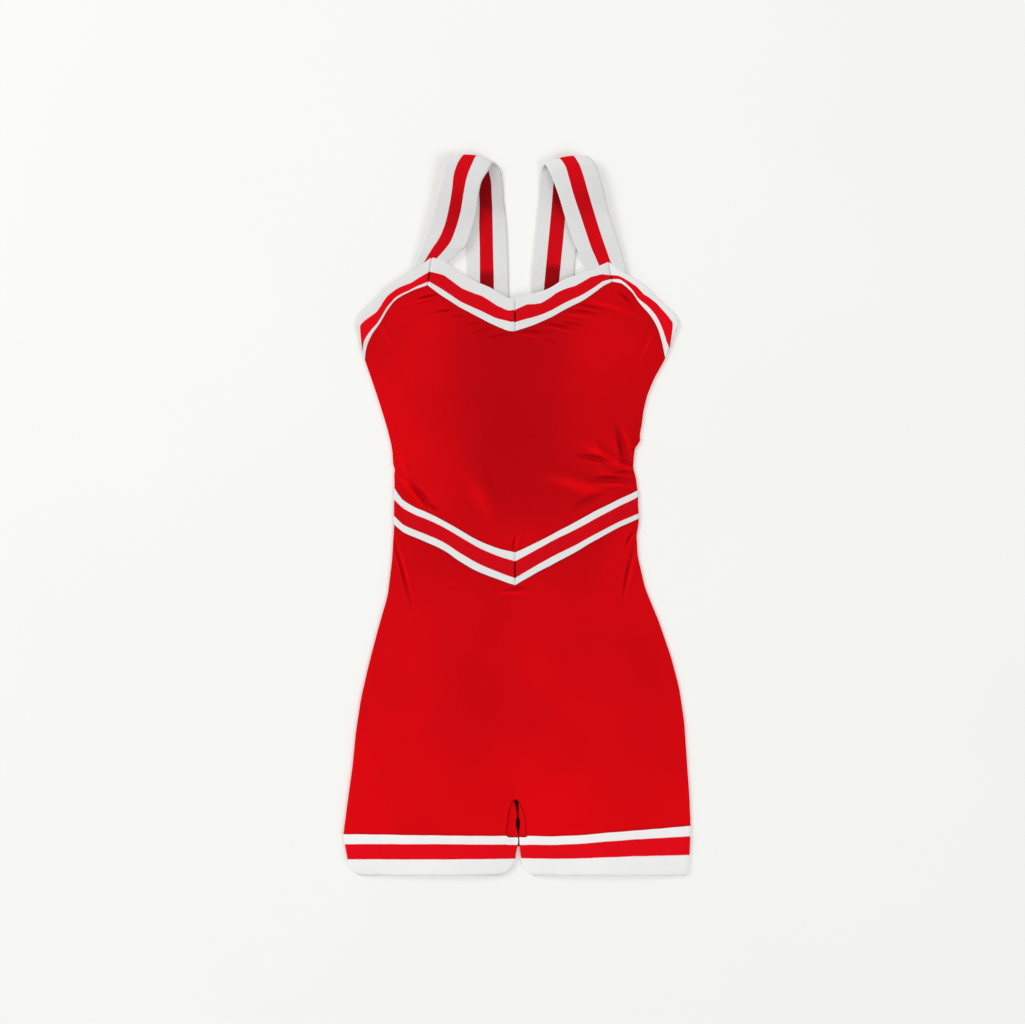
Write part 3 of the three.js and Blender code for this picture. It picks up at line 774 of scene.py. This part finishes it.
# Stations of each trim, from left to right: how far along it they lie, and how far across it the trim
# starts, its middle stripe starts and ends, and the trim ends.
STATIONS = {
    "armhole_trim_left": [
        (0, 0, 0.27, 0.3, 1), (0.08, 0.02, 0.3, 0.8, 1), (0.33, 0, 0.15, 0.6, 1), (0.5, 0.12, 0.29, 0.75, 1),
        (0.6, 0.12, 0.28, 0.72, 1), (0.8, 0, 0.09, 0.44, 1), (1, 0, 0.13, 0.49, 1),
    ],
    "neckline_trim_left": [
        (0, 0, 0.15, 0.49, 1), (0.17, 0, 0.19, 0.61, 1), (0.4, 0, 0.18, 0.58, 1), (0.62, 0, 0.22, 0.66, 1),
        (0.8, 0, 0.23, 0.6, 1), (0.92, 0, 0.3, 0.62, 1), (1, 0, 0.29, 0.66, 1),
    ],
    "neckline_trim_right": [
        (0, 0, 0.28, 0.66, 1), (0.12, 0, 0.27, 0.71, 1), (0.26, 0, 0.24, 0.62, 1), (0.42, 0, 0.23, 0.71, 1),
        (0.62, 0, 0.22, 0.64, 1), (0.8, 0, 0.22, 0.71, 1), (0.91, 0, 0.23, 0.58, 1), (1, 0, 0.14, 0.33, 1),
    ],
    "armhole_trim_right": [
        (0, 0, 0.13, 0.34, 1), (0.1, 0.09, 0.32, 0.52, 1), (0.2, 0.06, 0.29, 0.6, 1),
        (0.34, 0.06, 0.2, 0.7, 1), (0.44, 0.05, 0.27, 0.61, 1), (0.62, 0, 0.33, 0.8, 1),
        (0.9, 0.03, 0.26, 0.78, 1), (1, 0.04, 0.33, 0.36, 1),
    ],
    "waist_trim_front_left": [
        (0, 0.05, 0.32, 0.8, 1.16), (0.08, 0.01, 0.26, 0.78, 1.04), (0.4, 0.03, 0.31, 0.81, 1.03),
        (0.65, 0.01, 0.29, 0.79, 1), (1, 0.07, 0.3, 0.81, 1.08),
    ],
    "waist_trim_front_right": [
        (0, 0.07, 0.3, 0.81, 1.08), (0.3, 0.04, 0.31, 0.81, 1.02), (0.6, 0.03, 0.25, 0.75, 1.01),
        (0.9, 0.01, 0.21, 0.76, 1), (1, 0, 0.19, 0.78, 1.02),
    ],
    "hem_trim_left_front": [
        (0, 0.03, 0.41, 0.79, 1.04), (0.6, 0.03, 0.43, 0.82, 1.04), (1, 0.03, 0.44, 0.8, 1.02),
    ],
    "hem_trim_right_front": [
        (0, 0.03, 0.45, 0.8, 1.03), (0.4, 0.03, 0.42, 0.77, 0.97), (0.7, 0.02, 0.43, 0.8, 0.99),
        (1, 0.02, 0.42, 0.8, 1.01),
    ],
    "waist_trim_back": [(0, 0, 0.28, 0.78, 1), (1, 0, 0.28, 0.78, 1)],
    "back_neckline_trim": [(0, 0, 0.25, 0.62, 1), (1, 0, 0.25, 0.62, 1)],
    "hem_trim_left_back": [(0, 0, 0.42, 0.8, 1.03), (1, 0, 0.42, 0.8, 1.03)],
    "hem_trim_right_back": [(0, 0, 0.44, 0.8, 1.01), (1, 0, 0.44, 0.8, 1.01)],
}


def leftward(line):
    """The direction to the left of a line at each of its points."""
    run = np.gradient(line, axis=0)
    run /= np.linalg.norm(run, axis=1)[:, None]
    return np.column_stack([-run[:, 1], run[:, 0]])


def waver(line, seed):
    """Lets a sewn edge stray a little from its line."""
    along = lengths(line)
    stray = np.array([noise.noise((a * 70, seed, 0.5)) for a in along]) * 0.35 * MM
    stray *= np.clip(np.minimum(along, along[-1] - along) / (6 * MM), 0, 1)
    return line + leftward(line) * stray[:, None]


def cut_trim(node):
    """A trim's lower and upper edges, and where its middle stripe starts and ends, at even stations."""
    lower, upper = band_edges(node)
    count = int(lengths(lower)[-1] / (1.6 * MM))
    low, high = smooth(lower, count), smooth(upper, count)
    table = np.array(STATIONS[node])
    spots = np.linspace(0, 1, count)
    start, first, second, end = (np.interp(spots, table[:, 0], table[:, k]) for k in range(1, 5))
    way = high - low
    low, high = low + way * start[:, None], low + way * end[:, None]
    wide = end - start
    return waver(low, 1.0), waver(high, 4.0), (first - start) / wide, (second - start) / wide


TRIMS = {node: cut_trim(node) for node in STATIONS}

# The slit between the legs, in mm: the level, its middle and its width.
SLIT = np.array([
    (-305.5, -1.6, 1.0), (-307, -0.8, 4.6), (-310, -0.4, 4.6), (-313, 0.2, 3.2), (-317, 0.6, 3.0),
    (-320, 0.9, 1.9), (-325, 0.9, 2.3), (-328, 1.0, 4.6), (-335, 1.1, 4.4), (-339, 1.4, 2.2),
    (-345, 1.8, 1.4), (-350, 2.1, 1.3), (-356, 1.7, 2.4), (-364, 1.2, 4.8), (-371, 1.6, 6.4),
    (-390, 2.0, 8.0),
]) * MM


def slit_at(y):
    """The middle and the width of the slit at those levels."""
    return (np.interp(y, SLIT[::-1, 0], SLIT[::-1, k]) for k in (1, 2))


HEM_REACH = 55 * MM  # how far along a hem the rounding of its corner is eased out
HEM_DIP = 1.7 * MM  # how far a hem's upper edge dips beside the slit

# How far each hem's lower corner is rounded, in mm across and up: at the side seam and at the slit.
CORNERS = {"left": ((14, 11), (22, 17)), "right": ((6, 8), (14, 19))}


def hem_ends(side, plan):
    """Rounds a hem's lower corners, and brings its inner end to the slit."""
    x, y = plan[..., 0], plan[..., 1]
    above = y - y.min()
    middle, wide = slit_at(y)
    inward = -1 if side == "left" else 1
    moved = x.copy()
    for way, (reach, rise) in zip((-inward, inward), CORNERS[side]):
        row_end = x[0] if (way == 1) == (x[0, 0] < x[-1, 0]) else x[-1]
        gap = np.clip(np.abs(x - row_end[None, :]) / HEM_REACH, 0, 1)
        ease = 1 - gap * gap * (3 - 2 * gap)
        short = 1 - np.clip(above / (rise * MM), 0, 1)
        inset = reach * MM * (1 - np.sqrt(1 - short**2))
        shift = way * inset
        if way == inward:
            shift = shift + (middle + inward * wide / 2 - row_end[None, :])
        moved += ease * shift
    clear = np.clip((np.abs(moved) - 9 * MM) / (2.5 * MM), 0, 1)
    top = np.clip((y - y.max(1, keepdims=True)) / (12 * MM) + 1, 0, 1)
    return np.stack([moved, y - HEM_DIP * (1 - clear) * top], axis=-1)


def waist_ends(side, plan):
    """Brings a waist trim's outer end to the side seam."""
    x, y = plan[..., 0], plan[..., 1]
    outer = 0 if side == "left" else -1
    seam = left_side(y[outer]) - 0.4 * MM if side == "left" else right_side(y[outer]) + 0.4 * MM
    gap = np.clip(np.abs(x - x[outer]) / (15 * MM), 0, 1)
    ease = 1 - gap * gap * (3 - 2 * gap)
    return np.stack([x + ease * (seam - x[outer]), y], axis=-1)


def make_trims():
    for node, edges in TRIMS.items():
        back = "back" in node
        side = "left" if "left" in node else "right"
        finish = next((place for place in FINISH if node.startswith(place)), "neck")
        if finish == "hem":
            reshape = partial(hem_ends, side)
        elif node in WAIST:
            reshape = partial(waist_ends, side)
        else:
            reshape = None
        piece = band(
            node + "_knit", edges, back_height if back else front_height, TRIM_THICKNESS, finish,
            puff=0.0 if back else 0.3 * MM, above=-0.1 * MM if back else TRIM_RAISED,
            reshape=reshape,
        )
        long = lengths(edges[0])[-1]
        mean = area_of(np.vstack([edges[0], edges[1][::-1]])) / long
        sheet(piece, long, mean, rests_on=["floor"])
        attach(piece, "shorts" if node.startswith(("waist", "hem")) else "bodice")
        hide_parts(node)


# ---- The panels ----
UNDERLAP = 5 * MM  # how far a panel runs on under the trim sewn over it


def under(names, which, by):
    """A seam line moved by a distance across the trims, so that the panel runs on under them."""
    lines = []
    for n in names:
        edge, other = TRIMS[n][which], TRIMS[n][1 - which]
        way = other - edge
        lines.append(edge + way / np.linalg.norm(way, axis=1)[:, None] * by)
    return np.vstack(lines)


def side_run(line, low, high):
    """The points of a side seam between two levels."""
    levels = np.arange(low, high, 2.5 * MM)
    return np.column_stack([line(levels), levels])


def between(bottom, top):
    """The outline of a panel from one side seam to the other."""
    right = side_run(right_side, bottom[-1, 1] + 2 * MM, top[-1, 1] - 2 * MM)
    left = side_run(left_side, bottom[0, 1] + 2 * MM, top[0, 1] - 2 * MM)
    return thin(np.vstack([bottom, right, top[::-1], left[::-1]]))


def thin(edge, least=1.2 * MM):
    """Drops points that crowd together."""
    kept = [edge[0]]
    for p in edge[1:]:
        if np.linalg.norm(p - kept[-1]) > least and np.linalg.norm(p - edge[0]) > least / 2:
            kept.append(p)
    return np.array(kept)


NECK = ["armhole_trim_left", "neckline_trim_left", "neckline_trim_right", "armhole_trim_right"]
WAIST = ["waist_trim_front_left", "waist_trim_front_right"]
HEMS = ["hem_trim_left_front", "hem_trim_right_front"]
BACK_HEMS = ["hem_trim_left_back", "hem_trim_right_back"]
CLOTH = 1.0 * MM


def bends_at_waist(piece):
    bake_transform(piece)


def declare(piece, edge, rests_on, *nodes):
    """Hands a panel's cut size to sheet, which does nothing with it, and hides the nodes that it stands for.
    """
    sheet(piece, *np.ptp(edge, axis=0), rests_on=[rests_on], area=area_of(edge))
    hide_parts(*nodes)


def make_bodice():
    edge = between(under(WAIST, 1, UNDERLAP), under(NECK, 0, UNDERLAP))
    front = panel("front_bodice_knit", edge, front_height, CLOTH, "bodice", 2.2 * MM, 0.95 * MM)
    declare(front, edge, "back_bodice_knit", "front_bodice", "front_waist_panel")
    bends_at_waist(front)
    edge = between(under(["waist_trim_back"], 1, UNDERLAP), under(["back_neckline_trim"], 0, UNDERLAP))
    back = panel("back_bodice_knit", edge, back_height, CLOTH, "bodice")
    declare(back, edge, "floor", "back_bodice", "back_waist_panel")
    bends_at_waist(back)


def lining_height(x, y):
    """The middle of the lining: under the front cloth, and never below the back's."""
    return np.maximum(front_height(x, y) - 2.3 * MM, 1.45 * MM)


LINING_INSET = 16 * MM  # from the side seams


def make_lining():
    low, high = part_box("bust_elastic")
    top = under(NECK, 0, 0)
    top = top[(top[:, 0] > low.x - 34 * MM) & (top[:, 0] < high.x + 38 * MM)] - [0, 9 * MM]
    levels = np.arange(high.y + 1 * MM, top[0, 1], 4 * MM)
    left = np.column_stack([np.maximum(left_side(levels) + LINING_INSET, -152 * MM), levels])
    right = np.column_stack([np.minimum(right_side(levels) - LINING_INSET, 150 * MM), levels])
    bottom = np.column_stack([np.linspace(left[0, 0], right[0, 0], 60), np.full(60, levels[0])])
    edge = thin(np.vstack([bottom, right, top[::-1], left[::-1]]))
    piece = panel("bust_lining_knit", edge, lining_height, 0.7 * MM, "lining", 4 * MM)
    declare(piece, edge, "back_bodice_knit", "bust_lining")
    bends_at_waist(piece)
    run = np.linspace(low.x, high.x, 90)
    edges = [np.column_stack([run, np.full(90, y)]) for y in (low.y, high.y)]
    stripe = [np.full(90, 0.3), np.full(90, 0.7)]
    piece = band("bust_elastic_webbing", edges + stripe, lining_height, 0.8 * MM, "elastic")
    sheet(piece, high.x - low.x, high.y - low.y, rests_on=["back_bodice_knit"])
    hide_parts("bust_elastic")
    bends_at_waist(piece)


# The seam round the gusset, from its left foot over its top to its right foot, and its hidden tail, in mm.
GUSSET_SEAM = np.array([
    (-11.6, -346), (-9.8, -327), (-7.8, -315.5), (-5.6, -308.8), (-2.2, -305.8), (1.4, -307.6),
    (4.8, -313.8), (7.7, -321), (9.3, -330), (10.2, -346),
]) * MM
GUSSET_TAIL = np.array([(6.5, -350), (4.5, -356), (0, -356), (-3.5, -350)]) * MM
GUSSET_FOOT = -0.345
GUSSET_LEAST = 1.2 * MM  # the least height of its middle


def gusset_arch(grow=0.0):
    """The outline of the gusset, wider all round by that distance."""
    line = smooth(GUSSET_SEAM, 64)
    return line + leftward(line) * grow


def seam_ridge(x, y):
    """The small rise in the cloth just outside the gusset's seam."""
    arch = gusset_arch(1.6 * MM)
    away = np.full(x.shape, 1.0)
    near = (np.abs(x) < 20 * MM) & (y < -0.295)
    spot = np.column_stack([x[near], y[near]])
    away[near] = np.min(np.linalg.norm(spot[:, None, :] - arch[None], axis=2), axis=1) if near.any() else 1.0
    return 0.5 * MM * np.exp(-((away / (1.5 * MM)) ** 2))


def ridged_height(x, y):
    return front_height(x, y) + seam_ridge(x, y)


def legs_edge(hems):
    """The lower edge of a shorts panel: along one hem, over the gusset, and along the other."""
    arch = gusset_arch()
    hem = under(hems, 1, UNDERLAP)
    left = hem[hem[:, 0] < arch[0, 0] - 1 * MM]
    right = hem[hem[:, 0] > arch[-1, 0] + 1 * MM]
    feet = [[x, np.interp(x, *run.T)] for x, run in ((arch[0, 0], left), (arch[-1, 0], right))]
    return np.vstack([left, feet[:1], arch[1:-1], feet[1:], right])


def make_shorts():
    for side, hems, waist, lie, fine in (
        ("front", HEMS, WAIST, ridged_height, 1.0 * MM),
        ("back", BACK_HEMS, ["waist_trim_back"], back_height, None),
    ):
        edge = between(legs_edge(hems), under(waist, 0, UNDERLAP))
        piece = panel(f"{side}_shorts_knit", edge, lie, CLOTH, "shorts", 2.4 * MM, fine)
        declare(piece, edge, "floor", f"{side}_shorts")
        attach(piece, "shorts")


def gusset_dip(x, y):
    """How deep the gusset has sunk into the slit, from 0 to 1."""
    middle, wide = slit_at(y)
    away = np.abs(x - middle) / (wide / 2)
    dip = np.clip((1.35 - away) / 0.7, 0, 1)
    ends = np.clip((-0.3055 - y) / (1.2 * MM), 0, 1)
    return dip * dip * (3 - 2 * dip) * ends


def gusset_height(x, y):
    """The gusset's cloth: puckered beside the slit, and sunk into it."""
    middle, _ = slit_at(y)
    beside = np.exp(-np.abs(x - middle) / (3.5 * MM))
    pucker = 0.35 * MM * np.sin(y / (0.62 * MM) + 1.5 * np.sin(y / (2.3 * MM))) * beside
    flat = front_height(x, np.maximum(y, GUSSET_FOOT)) - 0.6 * MM + np.where(x < middle, 1.0, 0.5) * pucker
    tail = 3 * MM * np.clip((GUSSET_FOOT - y) / (6 * MM), 0, 1)
    flat = np.maximum(flat - tail, GUSSET_LEAST)
    return flat - gusset_dip(x, y) * np.maximum(flat - GUSSET_LEAST, 0)


def make_gusset():
    """The cloth between the legs, sunk where the legs part, with painted shade where it sinks into the slit.
    """
    edge = np.vstack([gusset_arch(0.8 * MM), GUSSET_TAIL])
    # This map paints shade into the gusset by how deep it has sunk into the slit.
    crease_shade = lambda x, y: np.column_stack([gusset_dip(x, y), y])
    piece = panel(
        "crotch_gusset_knit", edge, gusset_height, 0.9 * MM, "gusset", 0.55 * MM, crease_shade=crease_shade
    )
    declare(piece, edge, "floor", "crotch_gusset")
    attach(piece, "shorts")


# ---- The straps ----
STRAP_WIDTH = 45 * MM
WEBBING = 1.5 * MM
BEND = frame["joints"][1]["pos_m"][1]

# Stations along each strap, in mm: its left edge and its right edge, each across and above the line where
# it bends, the height, how far its middle bows up, and how far across it the middle stripe starts and ends.
STRAPS = {
    "left": [
        (-112.9, -32.1, -75.3, -26.7, 4.6, 0, 0.24, 0.54), (-111.9, -21.4, -76.4, -16, 5.0, 0, 0.24, 0.54),
        (-107.6, -10.1, -68.3, -7.4, 5.9, 0, 0.24, 0.54), (-102.7, 1.2, -60.2, -0.4, 7.3, 0, 0.25, 0.57),
        (-98.4, 15.2, -54.9, 4.5, 8.6, 0, 0.32, 0.61), (-93.8, 28.1, -49.5, 17.9, 9.4, 0, 0.345, 0.62),
        (-87.7, 47.5, -43.6, 39.4, 10.6, 0, 0.33, 0.62), (-83, 68.4, -41.1, 59.3, 11.8, 0, 0.32, 0.62),
        (-79, 86.2, -37.6, 74.4, 12.9, 1, 0.285, 0.62), (-73.7, 96.9, -31.2, 85.1, 12.6, 3, 0.27, 0.6),
        (-66.7, 100.6, -25.3, 94.2, 8.6, 4.5, 0.26, 0.58), (-62.4, 96.4, -18.8, 89.4, 4.6, 3, 0.3, 0.65),
        (-59.2, 85.1, -15.8, 78.1, 2.6, 1, 0.36, 0.69), (-57.5, 60.4, -14, 56.1, 1.5, 0, 0.39, 0.7),
        (-55.9, 28.1, -10.8, 27, 1.3, 0, 0.34, 0.66), (-54.3, 0.1, -9.5, 0.1, 1.3, 0, 0.32, 0.64),
        (-53.8, -25.7, -8.8, -26.7, 1.3, 0, 0.31, 0.64), (-53.2, -101, -8.6, -101, 1.5, 0, 0.31, 0.64),
    ],
    "right": [
        (74.2, -31, 111.9, -32.1, 4.6, 0, 0.34, 0.66), (75.3, -21.4, 117.2, -21.4, 5.0, 0, 0.34, 0.66),
        (69.3, -10.3, 113.5, -5.2, 6.1, 0, 0.355, 0.665), (65.1, -0.9, 109.7, 7.9, 7.4, 0, 0.34, 0.66),
        (59.2, 14.1, 104.3, 23.3, 8.7, 0, 0.35, 0.667), (52.7, 32.4, 97.9, 44.9, 10.0, 0, 0.35, 0.667),
        (45.1, 57.7, 91.7, 70.1, 11.6, 0, 0.325, 0.65), (39, 74.4, 86.6, 86.2, 12.8, 0.5, 0.345, 0.66),
        (33.9, 86.2, 82.3, 95.3, 13.0, 2, 0.36, 0.66), (29.3, 92.7, 76.9, 100.6, 9.4, 3.6, 0.33, 0.65),
        (25.8, 88.3, 74.2, 95.9, 4.8, 2.5, 0.32, 0.65), (24.5, 76.5, 72.1, 80.8, 2.6, 1, 0.32, 0.65),
        (22.6, 51.8, 69.2, 47.5, 1.4, 0, 0.32, 0.65), (19.4, 21.4, 65.9, 17.4, 1.3, 0, 0.33, 0.665),
        (16.3, -8.8, 62.7, -12.4, 1.3, 0, 0.335, 0.67), (14.1, -40.4, 60.2, -42.9, 1.3, 0, 0.325, 0.66),
        (11.3, -101, 57.5, -102, 1.5, 0, 0.32, 0.65),
    ],
}


# How much painted shade darkens each strap's red inside its loop and how far in, how much its red is
# darkened halfway down its front, where that lies past the bend and its reach, the level below which painted
# shade darkens it behind the neckline, and how much of the loop's painted shade its white takes.
STRAP_SHADE = {
    "left": (0.92, 60 * MM, 0.4, -62 * MM, 26 * MM, 0.2655, 0.9),
    "right": (0.83, 50 * MM, 0.34, -54 * MM, 20 * MM, 0.272, 0.35),
}


def strap_shade(side, past, level):
    """The painted shade of a strap's red and of its white at rows so far past its bend, and at those levels.
    """
    loop, reach, front, dip, spread, neck, share = STRAP_SHADE[side]
    fading = np.exp(-np.clip(past - reach, 0, 1) / (14 * MM))
    inside = np.clip(past / (9 * MM), 0, 1) * (0.04 + loop * fading)
    outside = front * np.exp(-(((past - dip) / spread) ** 2))
    behind = 0.82 * np.clip((neck - level) / (8 * MM), 0, 1) * (past > 0)
    red = np.maximum(np.maximum(inside, outside), behind)
    white = np.maximum(np.maximum(inside * share, outside * 0.8), behind * 0.2)
    return np.clip(red, 0, 1), np.clip(white, 0, 1)


def strap_net(table):
    """A strap's middle, in metres, row by row across it, and how far across it each point lies."""
    left, right, height, bow = table[:, :2], table[:, 2:4], table[:, 4], table[:, 5]
    place = stripe_place(BAND_ROWS, table[:, 6], table[:, 7])
    net = np.empty((*place.shape, 3))
    net[..., :2] = left[:, None] + place[..., None] * (right - left)[:, None]
    arch = 4 * place * (1 - place)
    net[..., 1] += bow[:, None] * arch
    net[..., 2] = height[:, None] + 0.35 * arch
    return net * MM + [0, BEND, 0], place


def make_strap(side):
    net, place = strap_net(smooth(np.array(STRAPS[side], float), 190))
    rows, wide = place.shape
    out = np.cross(np.gradient(net, axis=1), np.gradient(net, axis=0))
    out /= np.linalg.norm(out, axis=2)[..., None]
    crown = rounded(np.minimum(place, 1 - place) * STRAP_WIDTH, 0.8 * MM)
    lift = (crown * WEBBING / 2 + 0.1 * MM)[..., None] * out
    points = np.vstack([(net + lift).reshape(-1, 3), (net - lift).reshape(-1, 3)])
    points[:, 2] = np.maximum(points[:, 2], 0.15 * MM)
    middle = net[:, wide // 2]
    along = lengths(middle)
    past = along - along[np.argmax(middle[:, 1])]
    maps = band_maps(along, place, np.full(rows, STRAP_WIDTH))
    shade = np.column_stack([np.repeat(row, wide) for row in strap_shade(side, past, middle[:, 1])])
    maps["shade"] = np.vstack([shade, shade])
    faces = closed_sheet([face[::-1] for face in strip(rows, wide)], rows * wide)
    name = f"strap_{side}"
    piece = new_piece(name + "_webbing", points, faces, maps, "strap")
    sheet(piece, STRAP_WIDTH, along[-1], "folded", ["floor"])
    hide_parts(name, name + "_front_end", name + "_back_end")
    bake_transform(piece)


# ---- Stitching ----
def beside(names, which, by):
    """A line beside a seam, off the trim by that distance."""
    return thin(under(names, which, -by), 0.8 * MM)


def sew(name, line, body, finish="red thread", over=CLOTH / 2, **how):
    piece = stitches(name, line, lambda x, y: front_height(x, y) + over, finish, **how)
    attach(piece, body)


# Each row of stitches beside a trim: the seam's trims, which of their edges it is, and its body.
SEAMS = {
    "neck": (NECK, 0, "bodice"), "waist_upper": (WAIST, 1, "shorts"), "waist_lower": (WAIST, 0, "shorts"),
    "hem_left": (HEMS[:1], 1, "shorts"), "hem_right": (HEMS[1:], 1, "shorts"),
}
MITRES = {"apex_left": NECK[:2], "apex_right": NECK[2:], "neckline": NECK[1:3], "waist": WAIST}


def make_stitching():
    for name, (trims, which, body) in SEAMS.items():
        sew(name + "_stitching", beside(trims, which, 1.6 * MM), body)
    sew(
        "gusset_stitching", gusset_arch(0.1 * MM), "shorts", "seam thread",
        pitch=1.9 * MM, stitch=1.9 * MM, radius=0.34 * MM,
    )
    for name, trims in MITRES.items():
        make_mitre(name, *trims)


def make_mitre(name, first, second):
    """The seam where two trims meet: near-black thread across the red stripe, partly real stitching and
    partly painted shade for the seam's groove, and grey thread across the white ones.
    """
    low = (TRIMS[first][0][-1] + TRIMS[second][0][0]) / 2
    high = (TRIMS[first][1][-1] + TRIMS[second][1][0]) / 2
    starts, ends = TRIMS[first][2][-1], TRIMS[first][3][-1]
    body = "shorts" if name == "waist" else "bodice"
    for part, a, b, finish, radius in (
        ("inner", 0.06, starts, "grey thread", 0.24), ("middle", starts, ends, "dark thread", 0.75),
        ("outer", ends, 0.97, "grey thread", 0.22),
    ):
        sew(
            f"{name}_mitre_{part}", low + np.linspace(a, b, 12)[:, None] * (high - low), body, finish,
            TRIM_RAISED - 0.05 * MM, pitch=1.7 * MM, stitch=1.7 * MM, radius=radius * MM, slot="striped_trim",
        )


FLOOR_REACH = 9


def make_floor():
    data = bpy.data.meshes.new("floor")
    corners = [(a * FLOOR_REACH, b * FLOOR_REACH, 0) for a, b in ((-1, -1), (1, -1), (1, 1), (-1, 1))]
    data.from_pydata(corners, [], [(0, 1, 2, 3)])
    floor = bpy.data.objects.new("floor", data)
    floor.location.z = -0.02 * MM
    data.materials.append(paper("pale paper"))
    bpy.context.scene.collection.objects.link(floor)


set_up_camera()
set_up_light()
make_floor()
make_bodice()
make_lining()
make_shorts()
make_gusset()
make_trims()
make_strap("left")
make_strap("right")
make_stitching()
